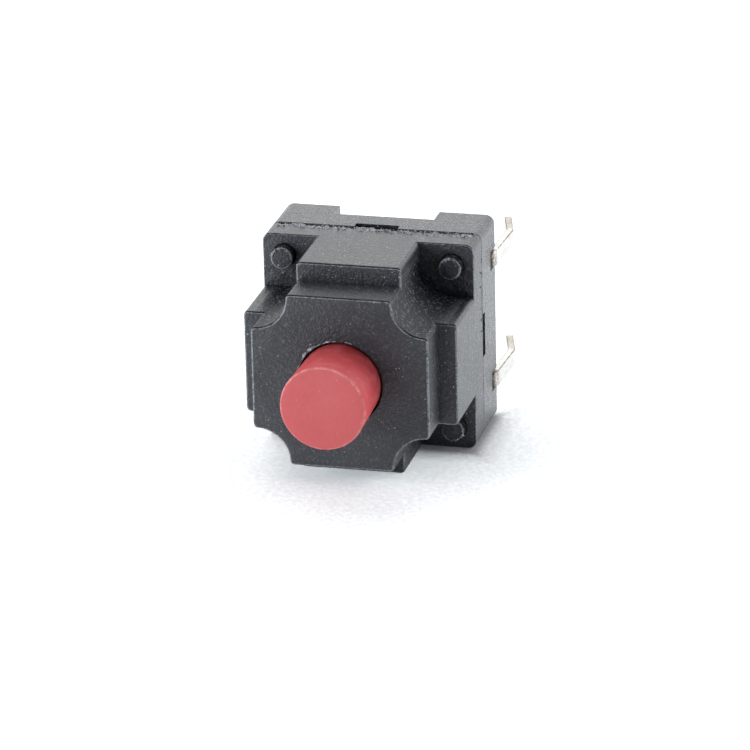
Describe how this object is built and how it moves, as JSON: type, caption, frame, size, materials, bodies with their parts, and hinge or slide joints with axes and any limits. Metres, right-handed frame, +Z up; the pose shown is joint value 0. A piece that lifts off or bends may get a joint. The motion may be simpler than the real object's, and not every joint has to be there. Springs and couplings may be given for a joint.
{
  "type": "pushbutton",
  "caption": "Square black circuit-board pushbutton lying on its side, with a red round plunger, a stepped cover with scooped corners, staked posts and kinked leads.",
  "frame": {"origin": "on the surface that the switch lies on, under the middle of its length and width", "axes": "+X to the switch's right seen from its plunger, +Y from the plunger's tip towards the leads and the board, +Z up; pressing the plunger moves it along +Y"},
  "size_m": [0.008, 0.0134, 0.0075],
  "materials": {
    "black_plastic": "matte moulded, finely speckled",
    "red_plastic": "waxy matte",
    "silicone": "soft matte",
    "carbon_rubber": "matte",
    "tinned_brass": "bright tinned, with bare cut edges"
  },
  "bodies": {
    "housing": {"base_housing": "black_plastic", "cover": "black_plastic", "terminal_upper": "tinned_brass", "terminal_lower": "tinned_brass", "rubber_dome": "silicone"},
    "plunger": {"plunger": "red_plastic", "contact_pill": "carbon_rubber"}
  },
  "joints": [
    {"name": "plunger_press", "type": "slide", "parent": "housing", "child": "plunger", "axis": [0, 1, 0], "range_m": [0, 0.0012], "stiffness_N_per_m": 1500, "deforming": ["rubber_dome"]}
  ]
}
